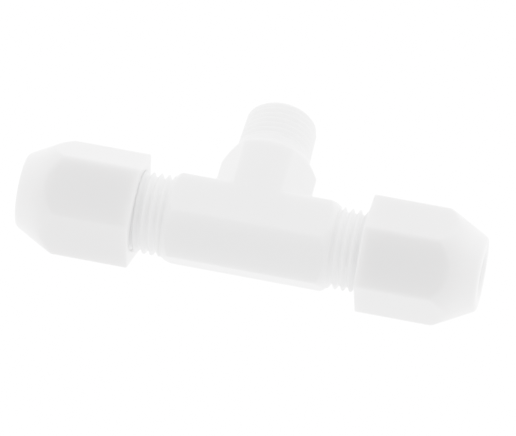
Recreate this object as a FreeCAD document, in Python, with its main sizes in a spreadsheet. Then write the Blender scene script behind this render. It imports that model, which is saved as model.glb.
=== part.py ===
import FreeCAD, Part
import math
import os
import Sketcher

# Compression tee: two hexagon union nuts on the run, a threaded branch.
# Frame: origin where the run axis (X) meets the branch axis (Y); Z up; millimetres.

os.makedirs("parts", exist_ok=True)

# ---------------------------------------------------------------- driving sizes
SIZES = [
    ("body_flats", 16.5, "across flats of the hexagon along the run"),
    ("body_half", 14.4, "centre of the tee to the end of the full hexagon"),
    ("body_taper", 2.2, "length of the cone from the hexagon down to the thread"),
    ("corner_round", 0.35, "radius on the long hexagon edges of the body"),
    ("run_pitch", 1.5, "pitch of the two run threads"),
    ("run_crest", 7.9, "outer radius of the run threads"),
    ("run_root", 7.05, "root radius of the run threads"),
    ("run_end", 32.5, "centre of the tee to the end of each spigot"),
    ("ridge_mid", 0.63, "width of a run thread ridge at its middle height"),
    ("flow_radius", 3.0, "water way along the run"),
    ("socket_radius", 4.1, "socket for the 8 mm tube"),
    ("socket_stop", 19.0, "centre of the tee to the shoulder the tube stops on"),
    ("seat_radius", 6.08, "seat bored for the O-ring"),
    ("seat_start", 30.7, "centre of the tee to the bottom of the O-ring seat"),
    ("branch_end", 27.6, "run axis to the end of the branch"),
    ("branch_pitch", 1.25, "pitch of the branch thread"),
    ("branch_crest", 6.95, "outer radius of the branch thread at its end"),
    ("branch_depth", 0.75, "depth of the branch thread"),
    ("branch_slope", 0.03125, "growth of its radius per mm towards the collar"),
    ("branch_angle", 1.79, "the same taper as an angle, degrees"),
    ("branch_neck", 7.26, "radius of the plain neck under the branch thread"),
    ("branch_neck_end", 18.6, "run axis to the first groove of the branch thread"),
    ("branch_bore", 4.0, "bore of the branch"),
    ("collar_straight", 15.2, "run axis to the end of the straight collar"),
    ("collar_taper", 2.4, "length of the cone from the collar to the neck"),
    ("nut_flats", 20.0, "across flats of a union nut"),
    ("nut_start", 22.05, "centre of the tee to the inner rim of a nut"),
    ("nut_length", 22.8, "length of a nut"),
    ("nut_shoulder", 14.5, "inner rim to where the cone meets the corners"),
    ("nut_face", 7.05, "radius of the flat end of a nut"),
    ("nut_round", 0.6, "radius on the long hexagon edges of a nut"),
    ("nut_turn", 47.3, "turn of the nut hexagon at rest, degrees"),
    ("nut_lag", 8.1, "how much further the left nut is turned home, degrees"),
    ("nut_crest", 7.2, "inner radius of the nut thread"),
    ("nut_root", 8.1, "root radius of the nut thread"),
    ("nut_thread_end", 33.0, "centre of the tee to the end of the nut thread"),
    ("nut_cavity", 7.2, "radius of the pocket that holds the rings"),
    ("nut_step", 36.0, "centre of the tee to the shoulder behind the grab ring"),
    ("nut_throat", 5.4, "inner radius of that shoulder"),
    ("nut_hole", 4.15, "hole the tube passes through"),
    ("ring_outer", 6.8, "outer radius of spacer and grab ring"),
    ("spacer_start", 32.8, "centre of the tee to the spacer ring"),
    ("spacer_rim", 35.3, "centre of the tee to the outer rim of the spacer"),
    ("spacer_lip", 34.3, "centre of the tee to the inner lip of the spacer"),
    ("spacer_bore", 4.25, "bore of the spacer ring"),
    ("grip_start", 35.4, "centre of the tee to the grab ring"),
    ("grip_thick", 0.5, "sheet thickness of the grab ring"),
    ("grip_bend", 5.6, "radius where the teeth bend inward"),
    ("grip_tip", 3.95, "radius of the tooth tips"),
    ("grip_lean", 0.9, "how far the tips lean toward the tube stop"),
    ("grip_slot", 0.7, "width of the gaps between teeth"),
    ("grip_teeth", 10, "number of gaps between teeth"),
    ("grip_split", 1.0, "width of the split through the grab ring"),
    ("oring_section", 1.0, "radius of the O-ring cross-section"),
    ("oring_middle", 5.03, "radius of the O-ring centre line"),
    ("oring_place", 31.75, "centre of the tee to the O-ring"),
]


class Size:
    """A number that also carries the sheet expression it came from."""

    def __init__(self, value, text):
        self.value = float(value)
        self.text = text

    def __add__(self, other):
        other = size(other)
        return Size(self.value + other.value, "(%s + %s)" % (self.text, other.text))

    def __sub__(self, other):
        other = size(other)
        return Size(self.value - other.value, "(%s - %s)" % (self.text, other.text))

    def __mul__(self, other):
        other = size(other)
        return Size(self.value * other.value, "(%s * %s)" % (self.text, other.text))

    def __neg__(self):
        return Size(-self.value, "(0 - %s)" % self.text)


def size(x):
    return x if isinstance(x, Size) else Size(x, "%.6f" % x)


doc = FreeCAD.newDocument("tee")
sheet = doc.addObject("Spreadsheet::Sheet", "Dims")
D = {}
for row, (alias, value, note) in enumerate(SIZES, start=1):
    sheet.set("A%d" % row, note)
    sheet.set("B%d" % row, str(value))
    sheet.setAlias("B%d" % row, alias)
    D[alias] = Size(value, "Dims.%s" % alias)
doc.recompute()

V = FreeCAD.Vector
HALF_FLATS = 1.0 / math.sqrt(3.0)


# ---------------------------------------------------------------- helpers
def bind(obj, prop, dim):
    """Set a property to a size and tie it to the sheet."""
    dim = size(dim)
    setattr(obj, prop, dim.value)
    obj.setExpression(prop, dim.text)


def new_body(label):
    body = doc.addObject("PartDesign::Body", label)
    body.Label = label
    return body


def origin_item(body, role):
    for item in body.Origin.OriginFeatures:
        if item.Role == role:
            return item
    raise RuntimeError("no origin feature " + role)


def profile(body, name, points, role="XY_Plane"):
    """Closed polygon sketch; every corner is tied to the sheet in both directions."""
    sk = body.newObject("Sketcher::SketchObject", name)
    sk.AttachmentSupport = [(origin_item(body, role), "")]
    sk.MapMode = "FlatFace"
    pts = [(size(x), size(y)) for x, y in points]
    count = len(pts)
    for i in range(count):
        a = pts[i]
        b = pts[(i + 1) % count]
        start = V(a[0].value, a[1].value, 0)
        end = V(b[0].value, b[1].value, 0)
        sk.addGeometry(Part.LineSegment(start, end), False)
    for i in range(count):
        sk.addConstraint(Sketcher.Constraint("Coincident", i, 2, (i + 1) % count, 1))
    for i, (x, y) in enumerate(pts):
        for kind, dim, axis in (("DistanceX", x, -2), ("DistanceY", y, -1)):
            if abs(dim.value) < 1e-9:
                sk.addConstraint(Sketcher.Constraint("PointOnObject", i, 1, axis))
                continue
            index = sk.addConstraint(Sketcher.Constraint(kind, -1, 1, i, 1, dim.value))
            label = "%s%d" % (kind[-1].lower(), i)
            sk.renameConstraint(index, label)
            sk.setExpression("Constraints." + label, dim.text)
    doc.recompute()
    return sk


def spin(body, name, points, axis="H_Axis", cut=False):
    """Turn a profile about the run (H_Axis) or the branch (V_Axis)."""
    before = body.Shape.Volume if cut else 0.0
    sk = profile(body, name + "_profile", points)
    kind = "PartDesign::Groove" if cut else "PartDesign::Revolution"
    feat = body.newObject(kind, name)
    feat.Profile = sk
    feat.ReferenceAxis = (sk, [axis])
    feat.Angle = 360.0
    doc.recompute()
    if cut and not body.Shape.Volume < before - 1e-3:
        raise RuntimeError(name + " removed nothing")
    return feat


def hexagon(body, name, flats, length, base, turn, along):
    """Hexagonal bar lying along X or Y, turned about its own axis."""
    bar = body.newObject("PartDesign::AdditivePrism", name)
    bar.Polygon = 6
    bind(bar, "Circumradius", flats * HALF_FLATS)
    bind(bar, "Height", length)
    if along == "X":
        lay = FreeCAD.Rotation(V(0, 1, 0), 90)
        place = V(size(base).value, 0, 0)
    else:
        lay = FreeCAD.Rotation(V(1, 0, 0), -90)
        place = V(0, size(base).value, 0)
    spin_own = FreeCAD.Rotation(V(0, 0, 1), turn)
    bar.Placement = FreeCAD.Placement(place, lay.multiply(spin_own))
    axis = "x" if along == "X" else "y"
    bar.setExpression(".Placement.Base." + axis, size(base).text)
    doc.recompute()
    return bar


def round_long_edges(body, name, feature, radius, along, keep=None):
    """Round the edges that run the length of a hexagonal bar."""
    want = V(1, 0, 0) if along == "X" else V(0, 1, 0)
    names = []
    for i, edge in enumerate(feature.Shape.Edges, start=1):
        if edge.Curve.TypeId != "Part::GeomLine":
            continue
        if abs(edge.Curve.Direction.dot(want)) < 0.999:
            continue
        if keep is None or keep(edge.CenterOfMass):
            names.append("Edge%d" % i)
    fillet = body.newObject("PartDesign::Fillet", name)
    fillet.Base = (feature, names)
    bind(fillet, "Radius", radius)
    doc.recompute()
    return fillet


def ridge(body, name, points, axis, pitch, height, backwards=False):
    """Right-hand thread ridge: a profile carried along a helix."""
    sk = profile(body, name + "_profile", points)
    coil = body.newObject("PartDesign::AdditiveHelix", name)
    coil.Profile = sk
    coil.ReferenceAxis = (sk, [axis])
    coil.Mode = "pitch-height-angle"
    bind(coil, "Pitch", pitch)
    bind(coil, "Height", height)
    coil.Angle = 0.0
    coil.LeftHanded = False
    coil.Reversed = backwards
    doc.recompute()
    return coil


def widths(mid_width, mid_radius, radius, outward):
    """Half width of a 60 degree ridge at a radius."""
    slope = math.tan(math.radians(30))
    step = (size(radius) - mid_radius) if outward else (size(mid_radius) - radius)
    return mid_width * 0.5 - step * slope


# ---------------------------------------------------------------- the moulded body
RUN_MID = (D["run_crest"] + D["run_root"]) * 0.5
NUT_MID = RUN_MID
THREAD_START = D["body_half"] - 0.6


def run_ridge_points(sign):
    """Ridge of a run thread, started inside the hexagon; sign picks the side."""
    low = D["run_root"] - 0.12
    half_low = widths(D["ridge_mid"], RUN_MID, low, True)
    half_top = widths(D["ridge_mid"], RUN_MID, D["run_crest"], True)
    x = THREAD_START
    pts = [
        (x - half_low, low),
        (x - half_top, D["run_crest"]),
        (x + half_top, D["run_crest"]),
        (x + half_low, low),
    ]
    return [(px * sign, py * sign) for px, py in pts]


def branch_crest_at(y):
    """Outer radius of the tapered branch thread at a distance along the branch."""
    return D["branch_crest"] + (D["branch_end"] - y) * D["branch_slope"].value


def build_body():
    body = new_body("tee_body")
    full = (D["body_half"] + D["body_taper"]) * 2.0
    half = -(D["body_half"] + D["body_taper"])
    bar = hexagon(body, "run_hexagon", D["body_flats"], full, half, 90, "X")
    round_long_edges(body, "run_edges", bar, D["corner_round"], "X")
    # cones at both ends of the hexagon
    over = D["body_flats"] * 0.7
    for sign, tag in ((1.0, "right"), (-1.0, "left")):
        spin(body, tag + "_cone", [
            (D["body_half"] * sign, D["body_flats"] * HALF_FLATS),
            ((D["body_half"] + D["body_taper"]) * sign, D["run_root"]),
            ((D["body_half"] + D["body_taper"] + 1.0) * sign, D["run_root"]),
            ((D["body_half"] + D["body_taper"] + 1.0) * sign, over),
            (D["body_half"] * sign, over),
        ], cut=True)
    # round core of the two spigots
    spin(body, "spigots", [
        (-D["run_end"], 0.0),
        (-D["run_end"], D["run_root"] - 0.3),
        (-D["run_end"] + 0.3, D["run_root"]),
        (D["run_end"] - 0.3, D["run_root"]),
        (D["run_end"], D["run_root"] - 0.3),
        (D["run_end"], 0.0),
    ])
    # branch: hexagonal collar, cone, then the round core of the thread
    collar = D["collar_straight"] + D["collar_taper"]
    collar_bar = hexagon(body, "branch_hexagon", D["body_flats"], collar, 0.0, 0, "Y")
    spin(body, "branch_cone", [
        (D["body_flats"] * HALF_FLATS, D["collar_straight"]),
        (D["branch_neck"], collar),
        (D["branch_neck"], collar + 1.0),
        (over, collar + 1.0),
        (over, D["collar_straight"]),
    ], axis="V_Axis", cut=True)
    groove = D["branch_neck_end"] + 0.35
    spin(body, "branch_core", [
        (0.0, 0.0),
        (D["branch_neck"], 0.0),
        (D["branch_neck"], D["branch_neck_end"]),
        (branch_crest_at(groove) - D["branch_depth"], groove),
        (D["branch_crest"] - D["branch_depth"], D["branch_end"]),
        (0.0, D["branch_end"]),
    ], axis="V_Axis")
    # threads
    run_length = D["run_end"] - THREAD_START + 1.0
    ridge(body, "right_thread", run_ridge_points(1.0), "H_Axis",
          D["run_pitch"], run_length)
    ridge(body, "left_thread", run_ridge_points(-1.0), "H_Axis",
          D["run_pitch"], run_length, backwards=True)
    y = D["branch_neck_end"] - 0.2
    top = branch_crest_at(y)
    mid = top - D["branch_depth"] * 0.5
    low = top - D["branch_depth"] - 0.12
    half_low = widths(D["branch_pitch"] * 0.5, mid, low, True)
    half_top = widths(D["branch_pitch"] * 0.5, mid, top, True)
    coil = ridge(body, "branch_thread", [
        (low, y - half_low),
        (top, y - half_top),
        (top, y + half_top),
        (low, y + half_low),
    ], "V_Axis", D["branch_pitch"], D["branch_end"] - y + 0.8)
    bind(coil, "Angle", -D["branch_angle"])
    doc.recompute()
    # square off and chamfer the thread ends
    for sign, tag in ((1.0, "right"), (-1.0, "left")):
        spin(body, tag + "_lead", [
            ((D["run_end"] - 1.2) * sign, D["run_crest"] + 0.1),
            (D["run_end"] * sign, D["run_root"] - 0.3),
            (D["run_end"] * sign, 0.0),
            ((D["run_end"] + 4.0) * sign, 0.0),
            ((D["run_end"] + 4.0) * sign, D["run_crest"] + 3.0),
            ((D["run_end"] - 1.2) * sign, D["run_crest"] + 3.0),
        ], cut=True)
    spin(body, "branch_lead", [
        (D["branch_crest"] + 0.1, D["branch_end"] - 0.9),
        (D["branch_crest"] - D["branch_depth"] + 0.05, D["branch_end"]),
        (0.0, D["branch_end"]),
        (0.0, D["branch_end"] + 4.0),
        (D["branch_crest"] + 3.0, D["branch_end"] + 4.0),
        (D["branch_crest"] + 3.0, D["branch_end"] - 0.9),
    ], axis="V_Axis", cut=True)
    # water ways, tube sockets and O-ring seats
    spin(body, "run_bore", [
        (-D["run_end"] - 1.0, 0.0),
        (-D["run_end"] - 1.0, D["seat_radius"]),
        (-D["seat_start"], D["seat_radius"]),
        (-D["seat_start"], D["socket_radius"]),
        (-D["socket_stop"], D["socket_radius"]),
        (-D["socket_stop"], D["flow_radius"]),
        (D["socket_stop"], D["flow_radius"]),
        (D["socket_stop"], D["socket_radius"]),
        (D["seat_start"], D["socket_radius"]),
        (D["seat_start"], D["seat_radius"]),
        (D["run_end"] + 1.0, D["seat_radius"]),
        (D["run_end"] + 1.0, 0.0),
    ], cut=True)
    spin(body, "branch_bore_cut", [
        (0.0, 0.0),
        (D["branch_bore"], D["flow_radius"] - 1.2),
        (D["branch_bore"], D["branch_end"] - 0.4),
        (D["branch_bore"] + 0.4, D["branch_end"]),
        (D["branch_bore"] + 0.4, D["branch_end"] + 1.0),
        (0.0, D["branch_end"] + 1.0),
    ], axis="V_Axis", cut=True)
    return body


# ---------------------------------------------------------------- the loose pieces
def build_nut(label):
    body = new_body(label)
    bar = hexagon(body, "hexagon", D["nut_flats"], D["nut_length"],
                  D["nut_start"], 0, "X")
    # a corner of the bar points to -Z; turn a flat to face the rest direction
    turn = FreeCAD.Rotation(V(1, 0, 0), -D["nut_turn"].value)
    place = bar.Placement
    place.Rotation = turn.multiply(place.Rotation)
    bar.Placement = place
    bar.setExpression(".Placement.Base.x", D["nut_start"].text)
    doc.recompute()
    round_long_edges(body, "long_edges", bar, D["nut_round"], "X")
    end = D["nut_start"] + D["nut_length"]
    over = D["nut_flats"] * 0.7
    spin(body, "cone", [
        (D["nut_start"] + D["nut_shoulder"], D["nut_flats"] * HALF_FLATS),
        (end, D["nut_face"]),
        (end + 1.0, D["nut_face"]),
        (end + 1.0, over),
        (D["nut_start"] + D["nut_shoulder"], over),
    ], cut=True)
    spin(body, "bore", [
        (D["nut_start"] - 1.0, 0.0),
        (D["nut_start"] - 1.0, D["nut_root"] + 0.25),
        (D["nut_start"], D["nut_root"] + 0.25),
        (D["nut_start"] + 0.25, D["nut_root"]),
        (D["nut_thread_end"] - 0.5, D["nut_root"]),
        (D["nut_thread_end"], D["nut_cavity"]),
        (D["nut_step"], D["nut_cavity"]),
        (D["nut_step"], D["nut_throat"]),
        (D["nut_step"] + 2.2, D["nut_hole"]),
        (end - 0.5, D["nut_hole"]),
        (end, D["nut_hole"] + 0.5),
        (end + 1.0, D["nut_hole"] + 0.5),
        (end + 1.0, 0.0),
    ], cut=True)
    # the nut ridge sits half a pitch off the spigot ridge
    turns = 6.0
    x = THREAD_START + D["run_pitch"] * (turns + 0.5)
    low = D["nut_root"] + 0.12
    half_low = widths(D["ridge_mid"], NUT_MID, low, False)
    half_top = widths(D["ridge_mid"], NUT_MID, D["nut_crest"], False)
    ridge(body, "thread", [
        (x - half_low, low),
        (x - half_top, D["nut_crest"]),
        (x + half_top, D["nut_crest"]),
        (x + half_low, low),
    ], "H_Axis", D["run_pitch"], D["nut_thread_end"] - x - 1.2)
    return body


def build_spacer(label):
    body = new_body(label)
    spin(body, "ring", [
        (D["spacer_start"], D["spacer_bore"]),
        (D["spacer_start"], D["ring_outer"] - 0.25),
        (D["spacer_start"] + 0.25, D["ring_outer"]),
        (D["spacer_rim"] - 0.25, D["ring_outer"]),
        (D["spacer_rim"], D["ring_outer"] - 0.25),
        (D["spacer_rim"], D["grip_bend"]),
        (D["spacer_lip"], D["spacer_bore"]),
    ])
    return body


def build_grab_ring(label):
    body = new_body(label)
    back = D["grip_start"] + D["grip_thick"]
    spin(body, "ring", [
        (D["grip_start"], D["ring_outer"]),
        (back, D["ring_outer"]),
        (back, D["grip_bend"] - 0.1),
        (back - D["grip_lean"], D["grip_tip"]),
        (D["grip_start"] - D["grip_lean"] + 0.15, D["grip_tip"]),
        (D["grip_start"], D["grip_bend"] + 0.1),
    ])
    # one gap between teeth, repeated round the ring
    half = D["grip_slot"] * 0.5
    before = body.Shape.Volume
    sk = profile(body, "gap_profile", [
        (half, D["grip_tip"] - 1.0),
        (half, D["grip_bend"] - 0.1),
        (-half, D["grip_bend"] - 0.1),
        (-half, D["grip_tip"] - 1.0),
    ], role="YZ_Plane")
    gap = body.newObject("PartDesign::Pocket", "gap")
    gap.Profile = sk
    gap.Type = "ThroughAll"
    gap.Midplane = True
    doc.recompute()
    body.Tip = gap
    pattern = body.newObject("PartDesign::PolarPattern", "gaps")
    pattern.Originals = [gap]
    pattern.Axis = (origin_item(body, "X_Axis"), [""])
    pattern.Angle = 360.0
    pattern.Occurrences = int(D["grip_teeth"].value)
    pattern.setExpression("Occurrences", D["grip_teeth"].text)
    doc.recompute()
    body.Tip = pattern
    if not body.Shape.Volume < before - 1e-3:
        raise RuntimeError("gap removed nothing")
    # the split that lets the ring spring
    before = body.Shape.Volume
    half = D["grip_split"] * 0.5
    sk = profile(body, "split_profile", [
        (half, -D["grip_tip"] + 1.0),
        (half, -D["ring_outer"] - 1.0),
        (-half, -D["ring_outer"] - 1.0),
        (-half, -D["grip_tip"] + 1.0),
    ], role="YZ_Plane")
    split = body.newObject("PartDesign::Pocket", "split")
    split.Profile = sk
    split.Type = "ThroughAll"
    split.Midplane = True
    doc.recompute()
    if not body.Shape.Volume < before - 1e-3:
        raise RuntimeError("split removed nothing")
    return body


def build_oring(label):
    ring = doc.addObject("Part::Torus", label)
    ring.Label = label
    bind(ring, "Radius1", D["oring_middle"])
    bind(ring, "Radius2", D["oring_section"])
    lay = FreeCAD.Rotation(V(0, 1, 0), 90)
    ring.Placement = FreeCAD.Placement(V(D["oring_place"].value, 0, 0), lay)
    doc.recompute()
    return ring


# ---------------------------------------------------------------- assembly
HALF_TURN = FreeCAD.Placement(V(0, 0, 0), FreeCAD.Rotation(V(0, 0, 1), 180))


def put_left(obj):
    """The left side is the right side turned half round about Z."""
    obj.Placement = HALF_TURN.multiply(obj.Placement)


nodes = [build_body()]
for side in ("right", "left"):
    group = [
        build_nut(side + "_union_nut"),
        build_grab_ring(side + "_grab_ring"),
        build_spacer(side + "_spacer_ring"),
        build_oring(side + "_o_ring"),
    ]
    if side == "left":
        # the same nut, screwed home a little further
        lag = D["nut_lag"].value
        slip = -D["run_pitch"].value * lag / 360.0
        twist = FreeCAD.Rotation(V(1, 0, 0), -lag)
        group[0].Placement = FreeCAD.Placement(V(slip, 0, 0), twist)
        for obj in group:
            put_left(obj)
    nodes.extend(group)
doc.recompute()

# ---------------------------------------------------------------- checks and export
for obj in doc.Objects:
    for word in ("Invalid", "Error"):
        if word in obj.State:
            raise RuntimeError("%s is %s" % (obj.Label, word))
for node in nodes:
    shape = node.Shape
    if shape.isNull() or not shape.isValid():
        raise RuntimeError("bad shape " + node.Label)
    if len(shape.Solids) != 1:
        raise RuntimeError("%s has %d solids" % (node.Label, len(shape.Solids)))
    shape.exportStep("parts/%s.step" % node.Label)
    box = shape.BoundBox
    print("%-18s volume %9.2f  x %7.2f %7.2f  y %7.2f %7.2f  z %7.2f %7.2f" % (
        node.Label, shape.Volume, box.XMin, box.XMax,
        box.YMin, box.YMax, box.ZMin, box.ZMax))
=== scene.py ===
# %% [markdown]
# # A moulded compression tee
# The part is a small white plastic tee for 8 mm tube. A hexagonal body carries a threaded
# spigot at each end, a union nut turns on each spigot, and a third male thread points away
# on the branch. The loaded model gives every solid its place. This lesson makes the visible
# mouldings again with rounded edges, and gives every piece a finish of its own.

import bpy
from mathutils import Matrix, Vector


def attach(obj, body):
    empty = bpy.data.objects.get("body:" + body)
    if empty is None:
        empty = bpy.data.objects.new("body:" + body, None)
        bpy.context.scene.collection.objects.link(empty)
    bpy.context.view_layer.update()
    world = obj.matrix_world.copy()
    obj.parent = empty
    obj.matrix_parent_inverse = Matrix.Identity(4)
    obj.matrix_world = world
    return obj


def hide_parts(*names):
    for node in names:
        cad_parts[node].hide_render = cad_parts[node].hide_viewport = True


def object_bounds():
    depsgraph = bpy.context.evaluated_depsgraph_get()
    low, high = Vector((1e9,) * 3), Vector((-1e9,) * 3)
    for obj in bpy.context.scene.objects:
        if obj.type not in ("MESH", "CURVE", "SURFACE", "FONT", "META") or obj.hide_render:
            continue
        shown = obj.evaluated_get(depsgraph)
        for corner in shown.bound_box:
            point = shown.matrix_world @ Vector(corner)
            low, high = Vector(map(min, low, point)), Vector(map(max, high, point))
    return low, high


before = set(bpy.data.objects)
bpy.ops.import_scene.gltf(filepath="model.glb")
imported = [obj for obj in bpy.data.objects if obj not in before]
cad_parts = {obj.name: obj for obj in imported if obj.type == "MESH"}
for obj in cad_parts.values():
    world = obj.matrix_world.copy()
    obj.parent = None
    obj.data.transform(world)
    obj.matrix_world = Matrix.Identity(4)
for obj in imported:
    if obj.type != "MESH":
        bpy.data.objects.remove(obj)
cad_low, cad_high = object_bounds()

# %% Tools used throughout
import bmesh
import bpy
import math
import numpy as np
from mathutils import Matrix, Vector

MM = 0.001
scene = bpy.context.scene

# %% [markdown]
# ## Sizes
# A fitting like this is drawn from a handful of numbers: across flats, thread pitch and
# crest, and where each feature stops along its axis. Keeping them together makes it easy
# to see which surface each one moves. Lengths are in millimetres until a mesh is made.

# %% Sizes of the fitting
BODY_FLATS = 16.5
BODY_HALF = 14.4
RUN_PITCH = 1.5
RUN_CREST = 7.9
RUN_ROOT = 7.05
RUN_END = 32.5
RUN_THREAD_AT = 13.8
SEAT_BORE = 6.08
SEAT_FLOOR = 30.7
TUBE_BORE = 4.1
TUBE_STOP = 19.0
WATER_BORE = 3.0
BRANCH_PITCH = 1.25
BRANCH_CREST = 6.95
BRANCH_DEPTH = 0.75
BRANCH_SLOPE = 0.03125
BRANCH_END = 27.6
BRANCH_NECK = 7.26
BRANCH_NECK_END = 18.6
BRANCH_THREAD_AT = 18.4
COLLAR_END = 15.2
COLLAR_CONE = 2.4
COLLAR_FLATS = BODY_FLATS - 0.02
BRANCH_BORE = 4.0
NUT_FLATS = 20.0
NUT_START = 22.05
NUT_END = 44.85
NUT_CONE_AT = 36.55
NUT_FACE = 7.05
NUT_PLAIN_END = 34.4
NUT_RIM = 9.5
NUT_ROOT = 8.1
NUT_MOUTH = 7.98
NUT_THREAD_END = 33.0
NUT_POCKET = 7.2
NUT_STEP = 36.0
NUT_THROAT = 5.4
NUT_HOLE = 4.15
NUT_CORNER_AT = 42.7
NUT_LAG = 8.1
BODY_SOFT, NUT_SOFT = 0.075, 0.085
print("run mm", 2 * NUT_END, "across flats mm", BODY_FLATS, NUT_FLATS)

# %% [markdown]
# ## A turned blank
# Every outer surface here is a round blank with flats and threads cut into it. The blank is
# a line of stations spun about the X axis. Stations are close together where a thread or a
# rounded edge needs them, and columns crowd towards the hexagon's corners, where the
# surface bends most. Each vertex also carries what the later cuts do to it.

# %% Columns that crowd towards the corners
FAN = [0.0, 0.7, 1.4, 2.2, 3.2, 4.6, 6.6, 9.5, 13.5, 18.5, 24.0]


def column_angles(corner_at):
    steps = sorted(set([-a for a in FAN] + FAN + [30.0]))
    return [math.radians(corner_at + 60 * k + a) for k in range(6) for a in steps]


print("columns", len(column_angles(0)))


# %% Stations along a profile
def stations(corners):
    """corners: (x, r, flats, inset, thread, spacing to the next corner)."""
    rows = []
    for here, there in zip(corners, corners[1:] + corners[:1]):
        length = math.hypot(there[0] - here[0], there[1] - here[1])
        parts = max(1, round(length / here[5])) if here[5] else 1
        for i in range(parts):
            t = i / parts
            x = here[0] + (there[0] - here[0]) * t
            r = here[1] + (there[1] - here[1]) * t
            inset = here[3] + (there[3] - here[3]) * t
            rows.append((x, r, here[2], inset, here[4]))
    return rows


def edge_round(x, radius, r, spacing):
    """Five stations that ease a hexagon up from the face at x, ending at x + radius."""
    out = []
    for angle in (0, 22, 45, 67, 90):
        a = math.radians(angle)
        gap = spacing if angle == 90 else 0.0
        out.append((x + radius * (1 - math.cos(a)), r, 1.0, radius * (1 - math.sin(a)), 0.0, gap))
    return out


# %% Spin the stations into a closed blank
def turned_blank(name, corners, corner_at):
    rows = stations(corners)
    angles = column_angles(corner_at)
    n, m = len(rows), len(angles)
    data = np.array(rows)
    cos, sin = np.cos(angles), np.sin(angles)
    co = np.empty((n, m, 3))
    co[:, :, 0] = data[:, 0, None]
    co[:, :, 1] = data[:, 1, None] * cos
    co[:, :, 2] = data[:, 1, None] * sin
    i, j = np.meshgrid(np.arange(n), np.arange(m), indexing="ij")
    i2, j2 = (i + 1) % n, (j + 1) % m
    quads = np.stack([i * m + j, i2 * m + j, i2 * m + j2, i * m + j2], -1)
    mesh = bpy.data.meshes.new(name)
    mesh.from_pydata((co.reshape(-1, 3) * MM).tolist(), [], quads.reshape(-1, 4).tolist())
    for column, key in ((2, "flats"), (3, "inset"), (4, "thread")):
        attr = mesh.attributes.new(key, "FLOAT", "POINT")
        values = np.repeat(data[:, column], m)
        attr.data.foreach_set("value", values * (MM if key == "inset" else 1.0))
    blank = bpy.data.objects.new(name, mesh)
    scene.collection.objects.link(blank)
    print(name, "stations", n, "quads", n * m)
    return blank


# %% [markdown]
# ## Cutting flats and threads
# A Geometry Nodes tree moves each vertex in or out along its own radius. A hexagon is the
# nearest of three pairs of flats, and a smooth maximum between the pairs rounds its corners
# like a mould would. A screw thread is a wave that depends on the distance along the axis
# less the part of a turn gone round it, so one formula makes any pitch, inside or outside.

# %% A short way to write node maths
class Sums:
    def __init__(self, tree):
        self.tree = tree

    def math(self, op, a, b=None, c=None):
        node = self.tree.nodes.new("ShaderNodeMath")
        node.operation = op
        for slot, value in enumerate((a, b, c)):
            if value is None:
                continue
            if isinstance(value, (int, float)):
                node.inputs[slot].default_value = value
            else:
                self.tree.links.new(value, node.inputs[slot])
        return node.outputs[0]

    def named(self, name):
        node = self.tree.nodes.new("GeometryNodeInputNamedAttribute")
        node.data_type = "FLOAT"
        node.inputs["Name"].default_value = name
        return node.outputs["Attribute"]


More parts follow.
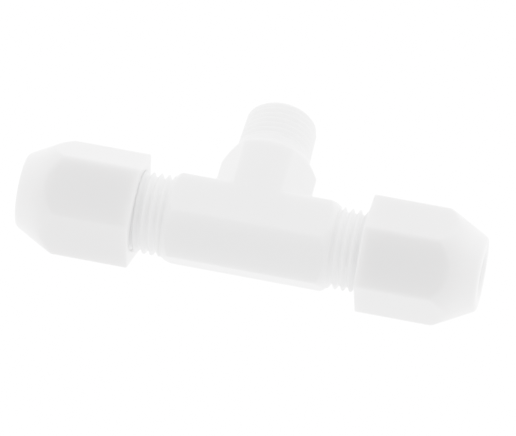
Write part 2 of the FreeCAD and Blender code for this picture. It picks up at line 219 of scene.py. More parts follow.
# %% The cutting tree
def cutting_tree():
    tree = bpy.data.node_groups.new("cut_flats_and_thread", "GeometryNodeTree")
    face = tree.interface
    face.new_socket("Geometry", in_out="INPUT", socket_type="NodeSocketGeometry")
    for label in ("Across Flats", "Corner Softness", "Corner At", "Pitch",
                  "Thread Depth", "Thread At", "Crest Share", "Root Share"):
        face.new_socket(label, in_out="INPUT", socket_type="NodeSocketFloat")
    face.new_socket("Finish", in_out="INPUT", socket_type="NodeSocketMaterial")
    face.new_socket("Geometry", in_out="OUTPUT", socket_type="NodeSocketGeometry")
    gin = tree.nodes.new("NodeGroupInput")
    gout = tree.nodes.new("NodeGroupOutput")
    s = Sums(tree)
    m = s.math
    where = tree.nodes.new("GeometryNodeInputPosition")
    split = tree.nodes.new("ShaderNodeSeparateXYZ")
    tree.links.new(where.outputs[0], split.inputs[0])
    x, y, z = split.outputs
    radius = m("SQRT", m("ADD", m("MULTIPLY", y, y), m("MULTIPLY", z, z)))
    angle = m("ARCTAN2", z, y)
    # the hexagon
    half = m("MULTIPLY", gin.outputs["Across Flats"], 0.5)
    pairs = []
    for k in range(3):
        turn = m("SUBTRACT", m("SUBTRACT", angle, gin.outputs["Corner At"]),
                 math.radians(30 + 60 * k))
        pairs.append(m("ABSOLUTE", m("COSINE", turn)))
    soft = gin.outputs["Corner Softness"]
    widest = m("SMOOTH_MAX", m("SMOOTH_MAX", pairs[0], pairs[1], soft), pairs[2], soft)
    hexagon = m("SUBTRACT", m("DIVIDE", half, widest), s.named("inset"))
    clipped = m("SMOOTH_MIN", radius, hexagon, 0.00025)
    flats = s.named("flats")
    plain = m("MULTIPLY", radius, m("SUBTRACT", 1.0, flats))
    shaped = m("ADD", plain, m("MULTIPLY", clipped, flats))
    # the thread, the same on both ends of the run
    way = m("SUBTRACT", m("MULTIPLY", m("GREATER_THAN", x, 0.0), 2.0), 1.0)
    own_angle = m("ARCTAN2", z, m("MULTIPLY", y, way))
    along = m("SUBTRACT", m("MULTIPLY", x, way), gin.outputs["Thread At"])
    turns = m("SUBTRACT", m("DIVIDE", along, gin.outputs["Pitch"]),
              m("DIVIDE", own_angle, 2 * math.pi))
    wave = m("PINGPONG", turns, 0.5)
    ridge = m("SUBTRACT", 1.0, m("MULTIPLY", wave, 2.0))
    root = m("SUBTRACT", 1.0, gin.outputs["Root Share"])
    crest = m("SUBTRACT", 1.0, gin.outputs["Crest Share"])
    rise = tree.nodes.new("ShaderNodeMapRange")
    rise.interpolation_type = "LINEAR"
    rise.clamp = True
    tree.links.new(ridge, rise.inputs["Value"])
    tree.links.new(root, rise.inputs["From Min"])
    tree.links.new(crest, rise.inputs["From Max"])
    groove = m("SUBTRACT", 1.0, rise.outputs["Result"])
    cut = m("MULTIPLY", m("MULTIPLY", groove, gin.outputs["Thread Depth"]),
            s.named("thread"))
    final = m("SUBTRACT", shaped, cut)
    scale = m("DIVIDE", final, m("MAXIMUM", radius, 1e-7))
    join = tree.nodes.new("ShaderNodeCombineXYZ")
    tree.links.new(x, join.inputs[0])
    tree.links.new(m("MULTIPLY", y, scale), join.inputs[1])
    tree.links.new(m("MULTIPLY", z, scale), join.inputs[2])
    move = tree.nodes.new("GeometryNodeSetPosition")
    tree.links.new(gin.outputs["Geometry"], move.inputs["Geometry"])
    tree.links.new(join.outputs[0], move.inputs["Position"])
    weld = tree.nodes.new("GeometryNodeMergeByDistance")
    weld.inputs["Distance"].default_value = 1e-6
    tree.links.new(move.outputs[0], weld.inputs["Geometry"])
    real = tree.nodes.new("GeometryNodeRealizeInstances")
    tree.links.new(weld.outputs[0], real.inputs[0])
    paint = tree.nodes.new("GeometryNodeSetMaterial")
    tree.links.new(real.outputs[0], paint.inputs["Geometry"])
    tree.links.new(gin.outputs["Finish"], paint.inputs["Material"])
    tree.links.new(paint.outputs[0], gout.inputs["Geometry"])
    return tree


CUTTING = cutting_tree()
print("cutting tree", len(CUTTING.nodes), "nodes")


# %% Run the tree and keep a plain mesh
def cut_blank(blank, values, finish):
    modifier = blank.modifiers.new("cut", "NODES")
    modifier.node_group = CUTTING
    for item in CUTTING.interface.items_tree:
        if item.in_out == "INPUT" and item.name in values:
            modifier[item.identifier] = values[item.name]
        if item.in_out == "INPUT" and item.name == "Finish":
            modifier[item.identifier] = finish
    bpy.context.view_layer.update()
    graph = bpy.context.evaluated_depsgraph_get()
    mesh = bpy.data.meshes.new_from_object(blank.evaluated_get(graph))
    blank.modifiers.clear()
    blank.data = mesh
    return blank


# %% [markdown]
# ## Shared surface effects
# Natural polypropylene is a milky white, and the mould leaves a very fine grain with soft
# flow marks. Light goes a little way in, so thin walls such as the spigots and the nuts'
# noses look whiter than the thick middles. That light is painted into the base colour, as a
# whiter colour on the thin ends. One node group makes the grain, the flow, the handling
# marks and a mask of where the light is painted, so both mouldings share it with their own
# values.

# %% Moulded surface group
def moulded_group():
    tree = bpy.data.node_groups.new("moulded_surface", "ShaderNodeTree")
    face = tree.interface
    for label, value in (("Grain Size", 2600.0), ("Flow Size", 60.0), ("Seed", 0.0),
                         ("Painted Light From", 0.015), ("Painted Light To", 0.0175)):
        item = face.new_socket(label, in_out="INPUT", socket_type="NodeSocketFloat")
        item.default_value = value
    for label in ("Grain", "Flow", "Scuff", "Painted Light Mask"):
        face.new_socket(label, in_out="OUTPUT", socket_type="NodeSocketFloat")
    gin = tree.nodes.new("NodeGroupInput")
    gout = tree.nodes.new("NodeGroupOutput")
    coord = tree.nodes.new("ShaderNodeTexCoord")
    shift = tree.nodes.new("ShaderNodeVectorMath")
    shift.operation = "ADD"
    tree.links.new(coord.outputs["Object"], shift.inputs[0])
    tree.links.new(gin.outputs["Seed"], shift.inputs[1])
    grain = tree.nodes.new("ShaderNodeTexNoise")
    grain.inputs["Detail"].default_value = 3.0
    tree.links.new(shift.outputs[0], grain.inputs["Vector"])
    tree.links.new(gin.outputs["Grain Size"], grain.inputs["Scale"])
    flow = tree.nodes.new("ShaderNodeTexNoise")
    flow.inputs["Detail"].default_value = 2.0
    flow.inputs["Distortion"].default_value = 1.2
    tree.links.new(shift.outputs[0], flow.inputs["Vector"])
    tree.links.new(gin.outputs["Flow Size"], flow.inputs["Scale"])
    scratch = tree.nodes.new("ShaderNodeTexNoise")
    scratch.inputs["Scale"].default_value = 420.0
    scratch.inputs["Detail"].default_value = 5.0
    scratch.inputs["Roughness"].default_value = 0.7
    stretch = tree.nodes.new("ShaderNodeMapping")
    stretch.inputs["Scale"].default_value = (0.35, 1.0, 1.6)
    tree.links.new(shift.outputs[0], stretch.inputs["Vector"])
    tree.links.new(stretch.outputs[0], scratch.inputs["Vector"])
    pick = tree.nodes.new("ShaderNodeMapRange")
    pick.inputs["From Min"].default_value = 0.58
    pick.inputs["From Max"].default_value = 0.74
    tree.links.new(scratch.outputs[0], pick.inputs["Value"])
    # painted light: far out along the run or branch the wall is thin and looks lit through
    apart = tree.nodes.new("ShaderNodeSeparateXYZ")
    tree.links.new(coord.outputs["Object"], apart.inputs[0])
    s = Sums(tree)
    out = s.math("MAXIMUM", s.math("ABSOLUTE", apart.outputs["X"]), apart.outputs["Y"])
    painted_light = tree.nodes.new("ShaderNodeMapRange")
    painted_light.interpolation_type = "SMOOTHSTEP"
    tree.links.new(out, painted_light.inputs["Value"])
    tree.links.new(gin.outputs["Painted Light From"], painted_light.inputs["From Min"])
    tree.links.new(gin.outputs["Painted Light To"], painted_light.inputs["From Max"])
    tree.links.new(painted_light.outputs["Result"], gout.inputs["Painted Light Mask"])
    tree.links.new(grain.outputs[0], gout.inputs["Grain"])
    tree.links.new(flow.outputs[0], gout.inputs["Flow"])
    tree.links.new(pick.outputs["Result"], gout.inputs["Scuff"])
    return tree


MOULDED = moulded_group()
print("moulded surface", len(MOULDED.nodes), "nodes")


# %% A moulded plastic finish
def moulded_plastic(name, thick, painted_light, reach, seed, rough):
    mat = bpy.data.materials.new(name)
    mat.use_nodes = True
    tree = mat.node_tree
    shader = tree.nodes["Principled BSDF"]
    group = tree.nodes.new("ShaderNodeGroup")
    group.node_tree = MOULDED
    group.inputs["Seed"].default_value = seed
    group.inputs["Grain Size"].default_value = 2600.0
    group.inputs["Flow Size"].default_value = 60.0
    group.inputs["Painted Light From"].default_value = reach[0] * MM
    group.inputs["Painted Light To"].default_value = reach[1] * MM
    # painted light: a whiter colour on the thin ends, for light shining through the wall
    painted_light_mix = tree.nodes.new("ShaderNodeMixRGB")
    painted_light_mix.inputs[1].default_value = (*thick, 1)
    painted_light_mix.inputs[2].default_value = (*painted_light, 1)
    tree.links.new(group.outputs["Painted Light Mask"], painted_light_mix.inputs[0])
    tint = tree.nodes.new("ShaderNodeMixRGB")
    tint.blend_type = "MULTIPLY"
    tint.inputs[2].default_value = (0.955, 0.955, 0.958, 1)
    tree.links.new(group.outputs["Flow"], tint.inputs[0])
    tree.links.new(painted_light_mix.outputs[0], tint.inputs[1])
    worn = tree.nodes.new("ShaderNodeMixRGB")
    worn.blend_type = "MULTIPLY"
    worn.inputs[2].default_value = (0.965, 0.965, 0.96, 1)
    tree.links.new(group.outputs["Scuff"], worn.inputs[0])
    tree.links.new(tint.outputs[0], worn.inputs[1])
    tree.links.new(worn.outputs[0], shader.inputs["Base Color"])
    gloss = tree.nodes.new("ShaderNodeMapRange")
    gloss.inputs["To Min"].default_value = rough - 0.06
    gloss.inputs["To Max"].default_value = rough + 0.10
    tree.links.new(group.outputs["Grain"], gloss.inputs["Value"])
    tree.links.new(gloss.outputs["Result"], shader.inputs["Roughness"])
    bump = tree.nodes.new("ShaderNodeBump")
    bump.inputs["Strength"].default_value = 0.25
    bump.inputs["Distance"].default_value = 0.00003
    tree.links.new(group.outputs["Grain"], bump.inputs["Height"])
    tree.links.new(bump.outputs[0], shader.inputs["Normal"])
    shader.inputs["Subsurface Weight"].default_value = 1.0
    shader.inputs["Subsurface Radius"].default_value = (1.0, 0.98, 0.95)
    shader.inputs["Subsurface Scale"].default_value = 0.005
    shader.inputs["IOR"].default_value = 1.49
    return mat


# painted light on the thin ends, painted shade in the nuts' darker thick colour
BODY_WHITE = moulded_plastic("body_natural_white", (0.79, 0.79, 0.79), (0.96, 0.96, 0.96),
                             (15.0, 17.5), 0.0, 0.42)
NUT_WHITE = moulded_plastic("nut_natural_white", (0.70, 0.69, 0.69), (0.87, 0.86, 0.86),
                            (37.0, 43.0), 0.37, 0.38)
print("plastics", BODY_WHITE.name, NUT_WHITE.name)

# %% [markdown]
# ## The run
# The body's run is one long turned shape: spigot, cone, hexagon, cone, spigot. Its thread
# fades in on the cone and stops at a small lead chamfer at each end. The bore is part of
# the same closed ring of stations, so the wall has its true thickness.

# %% Run of the tee
def run_corners():
    over = BODY_FLATS * 0.6
    tip = RUN_ROOT - 0.3
    side = [
        (BODY_HALF - 0.5, over, 1.0, 0.0, 0.0, 0.25),
        (BODY_HALF, BODY_FLATS / math.sqrt(3), 1.0, 0.0, 0.0, 0.18),
        (BODY_HALF + 1.55, RUN_CREST + 0.02, 1.0, 0.0, 0.0, 0.1),
        (BODY_HALF + 1.75, RUN_CREST, 0.0, 0.0, 1.0, 0.125),
        (RUN_END - 1.2, RUN_CREST, 0.0, 0.0, 1.0, 0.1),
        (RUN_END - 0.05, RUN_ROOT + 0.02, 0.0, 0.0, 0.0, 0.0),
        (RUN_END, tip, 0.0, 0.0, 0.0, 0.2),
        (RUN_END, SEAT_BORE + 0.12, 0.0, 0.0, 0.0, 0.0),
        (RUN_END - 0.15, SEAT_BORE, 0.0, 0.0, 0.0, 0.4),
        (SEAT_FLOOR, SEAT_BORE, 0.0, 0.0, 0.0, 0.5),
        (SEAT_FLOOR, TUBE_BORE, 0.0, 0.0, 0.0, 1.5),
        (TUBE_STOP, TUBE_BORE, 0.0, 0.0, 0.0, 0.5),
        (TUBE_STOP, WATER_BORE, 0.0, 0.0, 0.0, 1.2),
    ]
    right = [(0.0, over, 1.0, 0.0, 0.0, 0.35)] + side
    # flags and spacing belong to the gap after a corner, so they move one along when mirrored
    there = side[::-1]
    after = there[1:] + [right[0]]
    left = [(-c[0], c[1], g[2], 0.0, g[4], g[5]) for c, g in zip(there, after)]
    return right + left


run_values = {
    "Across Flats": BODY_FLATS * MM, "Corner Softness": BODY_SOFT, "Corner At": 0.0,
    "Pitch": RUN_PITCH * MM, "Thread Depth": (RUN_CREST - RUN_ROOT) * MM,
    "Thread At": RUN_THREAD_AT * MM, "Crest Share": 0.10, "Root Share": 0.75,
}
run_piece = cut_blank(turned_blank("tee_run", run_corners(), 0.0), run_values, BODY_WHITE)

# %% [markdown]
# ## The branch
# The branch is turned in the same way, lying along X, and then swung round to point along
# Y. It starts inside the run's wall so that the two shapes can be joined.

# %% Branch of the tee
def branch_corners():
    over = BODY_FLATS * 0.6
    tip = BRANCH_CREST - BRANCH_DEPTH

    def crest(y):
        return BRANCH_CREST + (BRANCH_END - y) * BRANCH_SLOPE

    neck = COLLAR_END + COLLAR_CONE
    return [
        (2.0, over, 1.0, 0.0, 0.0, 0.4),
        (COLLAR_END, BODY_FLATS / math.sqrt(3), 1.0, 0.0, 0.0, 0.2),
        (neck - 0.25, BRANCH_NECK + 0.22, 1.0, 0.0, 0.0, 0.1),
        (neck, BRANCH_NECK + 0.05, 0.0, 0.0, 0.0, 0.0),
        (neck + 0.2, BRANCH_NECK, 0.0, 0.0, 0.0, 0.2),
        (BRANCH_NECK_END - 0.2, BRANCH_NECK, 0.0, 0.0, 0.0, 0.1),
        (BRANCH_NECK_END, crest(BRANCH_NECK_END), 0.0, 0.0, 0.0, 0.1),
        (BRANCH_NECK_END + 0.35, crest(BRANCH_NECK_END + 0.35), 0.0, 0.0, 1.0, 0.105),
        (BRANCH_END - 0.85, crest(BRANCH_END - 0.85), 0.0, 0.0, 1.0, 0.1),
        (BRANCH_END - 0.1, tip + 0.12, 0.0, 0.0, 0.0, 0.0),
        (BRANCH_END, tip, 0.0, 0.0, 0.0, 0.6),
        (BRANCH_END, 1.0, 0.0, 0.0, 0.0, 4.0),
        (2.0, 1.0, 0.0, 0.0, 0.0, 2.0),
    ]


branch_values = {
    "Across Flats": COLLAR_FLATS * MM, "Corner Softness": BODY_SOFT, "Corner At": 0.0,
    "Pitch": BRANCH_PITCH * MM, "Thread Depth": BRANCH_DEPTH * MM,
    "Thread At": BRANCH_THREAD_AT * MM, "Crest Share": 0.16, "Root Share": 0.84,
}
branch_piece = cut_blank(turned_blank("tee_branch", branch_corners(), 0.0),
                         branch_values, BODY_WHITE)
SWING = Matrix(((0, 1, 0, 0), (1, 0, 0, 0), (0, 0, -1, 0), (0, 0, 0, 1)))
branch_piece.data.transform(SWING)


# %% [markdown]
# ## One moulding from two
# The run and the branch are one shot of plastic. A boolean union joins them, and a plug the
# size of the branch's bore opens the way into the run.

# %% Tools for joining solids
def plug(name, profile):
    """A solid of revolution about Y, from (y, radius) pairs."""
    count = 96
    angles = [2 * math.pi * k / count for k in range(count)]
    points = [(r * math.cos(a) * MM, y * MM, r * math.sin(a) * MM)
              for y, r in profile for a in angles]
    faces = []
    for ring in range(len(profile) - 1):
        for k in range(count):
            n = (k + 1) % count
            faces.append((ring * count + k, ring * count + n,
                          (ring + 1) * count + n, (ring + 1) * count + k))
    last = (len(profile) - 1) * count
    faces += [tuple(range(count - 1, -1, -1)), tuple(range(last, last + count))]
    mesh = bpy.data.meshes.new(name)
    mesh.from_pydata(points, [], faces)
    obj = bpy.data.objects.new(name, mesh)
    scene.collection.objects.link(obj)
    return obj


def outward(obj):
    """Make every face of a closed mesh point out."""
    bm = bmesh.new()
    bm.from_mesh(obj.data)
    bmesh.ops.remove_doubles(bm, verts=bm.verts, dist=2e-7)
    bmesh.ops.recalc_face_normals(bm, faces=bm.faces)
    open_edges = sum(1 for e in bm.edges if not e.is_manifold)
    volume = bm.calc_volume(signed=True)
    bm.to_mesh(obj.data)
    bm.free()
    print(obj.name, "open edges", open_edges, "volume mm3", round(volume * 1e9, 1))
    return obj


def carve(target, tool, operation):
    """Join or cut target with tool, and keep a plain mesh."""
    modifier = target.modifiers.new("carve", "BOOLEAN")
    modifier.operation = operation
    modifier.object = tool
    modifier.solver = "MANIFOLD"
    bpy.context.view_layer.update()
    graph = bpy.context.evaluated_depsgraph_get()
    mesh = bpy.data.meshes.new_from_object(target.evaluated_get(graph))
    target.modifiers.clear()
    target.data = mesh
    bpy.data.objects.remove(tool)


# %% Join them and open the branch
outward(run_piece)
outward(branch_piece)
bore_profile = [
    (0.4, 1.2), (1.8, BRANCH_BORE), (BRANCH_END - 0.45, BRANCH_BORE),
    (BRANCH_END - 0.15, 4.2), (BRANCH_END, 4.5), (BRANCH_END + 0.5, 5.2),
]
bore_plug = outward(plug("bore_plug", bore_profile))
carve(run_piece, branch_piece, "UNION")
carve(run_piece, bore_plug, "DIFFERENCE")
body_piece = run_piece
body_piece.name = "tee_moulding"
outward(body_piece)

# %% [markdown]
# A mould has no razor-sharp inside corners. Where the collar grows out of the run, the
# vertices near the crease are moved on to a surface that blends the two hexagons, which
# gives a small fillet. Flats that already lie in one plane are left as they are.

# %% Fillet the crease between collar and run
CREASE = 1.6 * MM
VALLEY_FROM, VALLEY_EASE = 4.9 * MM, 1.0 * MM
VALLEY_X, VALLEY_Y = 13.5 * MM, 14 * MM
LEVEL_X, LEVEL_FROM, LEVEL_TO = 4.1 * MM, 2.5 * MM, 13 * MM


def hexagon_field(u, v, flats):
    """Distance outside a hexagon with corners along u, and its direction."""
    best = np.full(u.shape, -1.0)
    gu, gv = np.zeros(u.shape), np.zeros(u.shape)
    for k in range(6):
        a = math.radians(30 + 60 * k)
        d = u * math.cos(a) + v * math.sin(a) - flats * MM / 2
        pick = d > best
        best = np.where(pick, d, best)
        gu = np.where(pick, math.cos(a), gu)
        gv = np.where(pick, math.sin(a), gv)
    return best, gu, gv


def fillet_crease(obj):
    count = len(obj.data.vertices)
    flat = np.empty(count * 3)
    obj.data.vertices.foreach_get("co", flat)
    co = flat.reshape(-1, 3)
    moved = 0
    for _ in range(4):
        x, y, z = co.T
        run_d, run_y, run_z = hexagon_field(y, z, BODY_FLATS)
        arm_d, arm_x, arm_z = hexagon_field(x, z, COLLAR_FLATS)
        near = (y > 0.5 * MM) & (y < VALLEY_Y) & (np.abs(x) < VALLEY_X)
        near &= np.maximum(run_d, arm_d) < CREASE
        near &= np.minimum(run_d, arm_d) > -CREASE / 2
        # only where two sloping faces meet in a valley, easing in from its ends
        near &= (np.abs(run_z) < 0.9) & (np.abs(arm_z) < 0.9)
        ease = np.clip((np.minimum(np.abs(x), y) - VALLEY_FROM) / VALLEY_EASE, 0, 1)
        reach = CREASE * ease * ease * (3 - 2 * ease)
        h = np.clip(reach - np.abs(run_d - arm_d), 0, None) / np.maximum(reach, 1e-9)
        blend = np.minimum(run_d, arm_d) - h * h * reach / 4
        mix = np.clip(0.5 + 0.5 * (arm_d - run_d) / np.maximum(reach, 1e-9), 0, 1)
        normal = np.stack([arm_x * (1 - mix), run_y * mix, run_z * mix + arm_z * (1 - mix)], 1)
        normal /= np.maximum(np.linalg.norm(normal, axis=1), 1e-9)[:, None]
        push = np.where(near & (h > 0), -blend, 0.0)
        co += normal * push[:, None] * 0.9
        moved = max(moved, int((np.abs(push) > 1e-6).sum()))
    # the flats of run and collar are one plane, above and below
    x, y, z = co.T
    shared = (np.abs(x) < LEVEL_X) & (y > LEVEL_FROM) & (y < LEVEL_TO)
    shared &= np.abs(z) > (BODY_FLATS / 2 - 0.3) * MM
    co[shared, 2] = np.sign(z[shared]) * (BODY_FLATS / 2 - 0.005) * MM
    obj.data.vertices.foreach_set("co", co.ravel())
    obj.data.update()
    print("fillet moved", moved, "vertices; levelled", int(shared.sum()))


fillet_crease(body_piece)

# %% [markdown]
# ## Union nuts
# A nut is a hexagon whose outer end is turned to a cone. Where the cone meets the flats it
# leaves the curved shoulder seen on every turned hexagon. Inside are the thread, the pocket
# for the rings, a shoulder and the hole for the tube. Both nuts are the same moulding, so
# it is made once and its copy is turned and set on the other end.

# %% One nut
def nut_corners():
    over = NUT_FLATS * 0.62
    rim = edge_round(NUT_START, 0.3, over, 1.0)
    return rim + [
        (NUT_PLAIN_END, over, 1.0, 0.0, 0.0, 0.3),
        (NUT_CONE_AT - 0.5, NUT_FLATS / math.sqrt(3) + 0.3, 1.0, 0.0, 0.0, 0.3),
        (NUT_END - 0.5, NUT_FACE + 0.32, 1.0, 0.0, 0.0, 0.0),
        (NUT_END - 0.22, NUT_FACE + 0.10, 1.0, 0.0, 0.0, 0.0),
        (NUT_END - 0.06, NUT_FACE - 0.12, 0.0, 0.0, 0.0, 0.0),
        (NUT_END, NUT_FACE - 0.38, 0.0, 0.0, 0.0, 0.6),
        (NUT_END, 4.75, 0.0, 0.0, 0.0, 0.0),
        (NUT_END - 0.12, 4.5, 0.0, 0.0, 0.0, 0.0),
        (NUT_END - 0.5, NUT_HOLE, 0.0, 0.0, 0.0, 1.2),
        (NUT_STEP + 2.2, NUT_HOLE, 0.0, 0.0, 0.0, 0.8),
        (NUT_STEP, NUT_THROAT, 0.0, 0.0, 0.0, 0.6),
        (NUT_STEP, NUT_POCKET, 0.0, 0.0, 0.0, 0.8),
        (NUT_THREAD_END, NUT_POCKET, 0.0, 0.0, 0.0, 0.0),
        (NUT_THREAD_END - 0.6, NUT_ROOT, 0.0, 0.0, 1.0, 0.125),
        (NUT_START + 0.75, NUT_ROOT, 0.0, 0.0, 0.0, 0.0),
        (NUT_START + 0.5, NUT_MOUTH, 0.0, 0.0, 0.0, 0.0),
        (NUT_START + 0.06, NUT_MOUTH, 0.0, 0.0, 0.0, 0.0),
        (NUT_START, NUT_MOUTH + 0.06, 0.0, 0.0, 0.0, 0.8),
        (NUT_START, NUT_RIM, 0.0, 0.0, 0.0, 0.0),
    ]


nut_values = {
    "Across Flats": NUT_FLATS * MM, "Corner Softness": NUT_SOFT,
    "Corner At": math.radians(NUT_CORNER_AT), "Pitch": RUN_PITCH * MM,
    "Thread Depth": 0.9 * MM, "Thread At": (RUN_THREAD_AT + RUN_PITCH / 2) * MM,
    "Crest Share": 0.75, "Root Share": 0.25,
}
right_nut = cut_blank(turned_blank("right_nut_moulding", nut_corners(), NUT_CORNER_AT),
                      nut_values, NUT_WHITE)
outward(right_nut)
left_nut = right_nut.copy()
left_nut.data = right_nut.data.copy()
left_nut.name = "left_nut_moulding"
scene.collection.objects.link(left_nut)
lag = math.radians(NUT_LAG)
slip = Matrix.Translation((-RUN_PITCH * MM * NUT_LAG / 360, 0, 0))
half_turn = Matrix.Rotation(math.pi, 4, "Z")
left_nut.data.transform(half_turn @ slip @ Matrix.Rotation(-lag, 4, "X"))

# %% [markdown]
# ## Soft shading
# Moulded faces are smooth, and only true edges should look like edges.

# %% Shade the mouldings
SHARP_FROM = 38  # degrees
for piece in (body_piece, right_nut, left_nut):
    piece.data.shade_smooth()
    piece.data.set_sharp_from_angle(angle=math.radians(SHARP_FROM))
    print("shaded", piece.name, len(piece.data.polygons), "faces")

# %% [markdown]
# ## Rings under the nuts
# The grab ring is pressed from thin stainless sheet, so it shows fine rolling lines. The
# O-ring is black nitrile with a dull bloom, and the spacer is the same plastic as the body.
# Their shapes are already right, so they only need finishes.

# %% Steel and rubber
def ring_steel():
    mat = bpy.data.materials.new("pressed_stainless")
    mat.use_nodes = True
    tree = mat.node_tree
    shader = tree.nodes["Principled BSDF"]
    shader.inputs["Metallic"].default_value = 1.0
    coord = tree.nodes.new("ShaderNodeTexCoord")
    stretch = tree.nodes.new("ShaderNodeMapping")
    stretch.inputs["Scale"].default_value = (1.0, 12.0, 0.6)
    tree.links.new(coord.outputs["Object"], stretch.inputs["Vector"])
    lines = tree.nodes.new("ShaderNodeTexNoise")
    lines.inputs["Scale"].default_value = 700.0
    lines.inputs["Detail"].default_value = 4.0
    tree.links.new(stretch.outputs[0], lines.inputs["Vector"])
    tone = tree.nodes.new("ShaderNodeValToRGB")
    tone.color_ramp.elements[0].color = (0.46, 0.46, 0.47, 1)
    tone.color_ramp.elements[1].color = (0.72, 0.72, 0.73, 1)
    tree.links.new(lines.outputs[0], tone.inputs[0])
    tree.links.new(tone.outputs[0], shader.inputs["Base Color"])
    rough = tree.nodes.new("ShaderNodeMapRange")
    rough.inputs["To Min"].default_value = 0.22
    rough.inputs["To Max"].default_value = 0.42
    tree.links.new(lines.outputs[0], rough.inputs["Value"])
    tree.links.new(rough.outputs["Result"], shader.inputs["Roughness"])
    return mat


def seal_rubber():
    mat = bpy.data.materials.new("nitrile_black")
    mat.use_nodes = True
    tree = mat.node_tree
    shader = tree.nodes["Principled BSDF"]
    group = tree.nodes.new("ShaderNodeGroup")
    group.node_tree = MOULDED
    tone = tree.nodes.new("ShaderNodeMixRGB")
    tone.inputs[1].default_value = (0.018, 0.018, 0.018, 1)
    tone.inputs[2].default_value = (0.055, 0.055, 0.053, 1)
    tree.links.new(group.outputs["Flow"], tone.inputs[0])
    tree.links.new(tone.outputs[0], shader.inputs["Base Color"])
    rough = tree.nodes.new("ShaderNodeMapRange")
    rough.inputs["To Min"].default_value = 0.45
    rough.inputs["To Max"].default_value = 0.7
    tree.links.new(group.outputs["Grain"], rough.inputs["Value"])
    tree.links.new(rough.outputs["Result"], shader.inputs["Roughness"])
    return mat


STEEL = ring_steel()
RUBBER = seal_rubber()
RING_FINISH = {"grab_ring": STEEL, "o_ring": RUBBER, "spacer_ring": BODY_WHITE}
for side in ("right", "left"):
    for ring, finish in RING_FINISH.items():
        ring_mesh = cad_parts[f"{side}_{ring}"].data
        ring_mesh.materials.clear()
        ring_mesh.materials.append(finish)
        print(side, ring, finish.name)

# %% [markdown]
# ## Riding on the frame
# Each moulding moves with the body of the solid it stands for.

# %% Attach the pieces
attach(body_piece, "tee")
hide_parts("tee_body")
for side, nut in (("right", right_nut), ("left", left_nut)):
    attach(nut, side + "_nut")
    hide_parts(side + "_union_nut")
print("riding", body_piece.name, right_nut.name, left_nut.name)

# %% [markdown]
# ## Light table and lamps
# The fitting lies on a bright white table in a white studio, so its underside is washed out
# and the faces turned towards the dark side of the room are the greyest.

# %% Stage
TABLE_SEEN, TABLE_LIGHT = 18.0, 7.0
TABLE_GAP = 0.2 * MM


def glowing_white(name, seen, light):
    """Burnt-out white to look at, and a gentler lamp for what lies on it."""
    mat = bpy.data.materials.new(name)
    mat.use_nodes = True
    tree = mat.node_tree
    tree.nodes.clear()
    out = tree.nodes.new("ShaderNodeOutputMaterial")
    glow = tree.nodes.new("ShaderNodeEmission")
    path = tree.nodes.new("ShaderNodeLightPath")
    level = tree.nodes.new("ShaderNodeMapRange")
    level.inputs["To Min"].default_value = light
    level.inputs["To Max"].default_value = seen
    direct = tree.nodes.new("ShaderNodeMath")
    direct.operation = "MAXIMUM"
    tree.links.new(path.outputs["Is Camera Ray"], direct.inputs[0])
    tree.links.new(path.outputs["Is Glossy Ray"], direct.inputs[1])
    tree.links.new(direct.outputs[0], level.inputs["Value"])
    tree.links.new(level.outputs["Result"], glow.inputs["Strength"])
    tree.links.new(glow.outputs[0], out.inputs["Surface"])
    return mat


floor_mesh = bpy.data.meshes.new("floor")
table_top = cad_low[2] - TABLE_GAP
table_corners = [(x, y, table_top) for x, y in ((-2, -2), (2, -2), (2, 3), (-2, 3))]
floor_mesh.from_pydata(table_corners, [], [(0, 1, 2, 3)])
floor = bpy.data.objects.new("floor", floor_mesh)
scene.collection.objects.link(floor)
floor_mesh.materials.append(glowing_white("light_table", TABLE_SEEN, TABLE_LIGHT))
print("table top mm", round(table_top / MM, 2))

# %% [markdown]
# The white tent round the table has an opening in front, where the room behind it is
# darker. Faces turned towards that opening come out a little greyer than the rest.

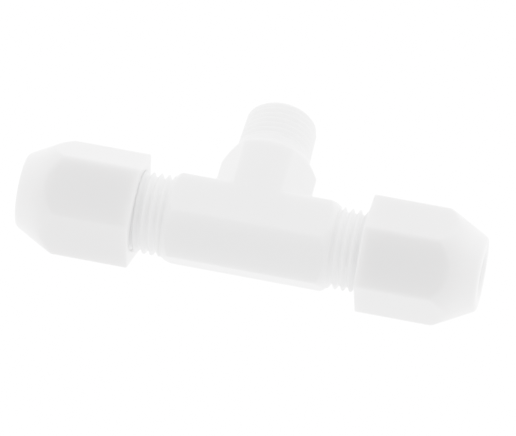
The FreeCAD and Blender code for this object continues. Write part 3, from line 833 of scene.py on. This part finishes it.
# %% Tent
TENT_BRIGHT, TENT_DARK = 10.0, 1.3
TENT_OPENING = (0.13, -0.61, 0.78)
world = bpy.data.worlds.new("studio")
scene.world = world
world.use_nodes = True
sky = world.node_tree
background = sky.nodes["Background"]
background.inputs["Color"].default_value = (1, 1, 1, 1)
toward = sky.nodes.new("ShaderNodeTexCoord")
facing = sky.nodes.new("ShaderNodeVectorMath")
facing.operation = "DOT_PRODUCT"
facing.inputs[1].default_value = TENT_OPENING
sky.links.new(toward.outputs["Generated"], facing.inputs[0])
opening = sky.nodes.new("ShaderNodeMapRange")
opening.interpolation_type = "SMOOTHSTEP"
opening.inputs["From Min"].default_value = 0.1
opening.inputs["From Max"].default_value = 1.0
opening.inputs["To Min"].default_value = TENT_BRIGHT
opening.inputs["To Max"].default_value = TENT_DARK
sky.links.new(facing.outputs["Value"], opening.inputs["Value"])
sky.links.new(opening.outputs["Result"], background.inputs["Strength"])
print("tent from", TENT_DARK, "to", TENT_BRIGHT)


# %% Lamp above the back of the table
BACK_LAMP = 4.0  # watts


def lamp(name, place, aim, size, power):
    data = bpy.data.lights.new(name, "AREA")
    data.size = size
    data.energy = power
    obj = bpy.data.objects.new(name, data)
    obj.location = place
    obj.rotation_mode = "QUATERNION"
    obj.rotation_quaternion = (Vector(aim) - Vector(place)).to_track_quat("-Z", "Y")
    scene.collection.objects.link(obj)


lamp("back_soft", (0.35, 0.45, 0.35), (0, 0, 0), 0.5, BACK_LAMP)
print("lamp", BACK_LAMP, "W")

# %% [markdown]
# ## Camera
# A long lens from above and in front keeps the run's two ends nearly the same size.

# %% Camera
AZIMUTH, ELEVATION, ROLL = 11.89, 51.3, 1.12
LENS, DISTANCE = 348.84, 0.95262
SIDE, RISE = -0.001263, 0.002660
a, e, r = (math.radians(v) for v in (AZIMUTH, ELEVATION, ROLL))
back = Vector((math.sin(a) * math.cos(e), -math.cos(a) * math.cos(e), math.sin(e)))
right0 = Vector((math.cos(a), math.sin(a), 0))
up0 = back.cross(right0)
right_v = right0 * math.cos(r) + up0 * math.sin(r)
up_v = up0 * math.cos(r) - right0 * math.sin(r)
camera_data = bpy.data.cameras.new("camera")
camera_data.sensor_width = 36.0
camera_data.lens = LENS
camera_data.clip_end = 20.0
camera = bpy.data.objects.new("camera", camera_data)
basis = Matrix((right_v, up_v, back)).transposed().to_4x4()
place = back * DISTANCE - right_v * SIDE + up_v * RISE
camera.matrix_world = Matrix.Translation(place) @ basis
scene.collection.objects.link(camera)
scene.camera = camera
print("camera lens mm", LENS, "distance m", DISTANCE)
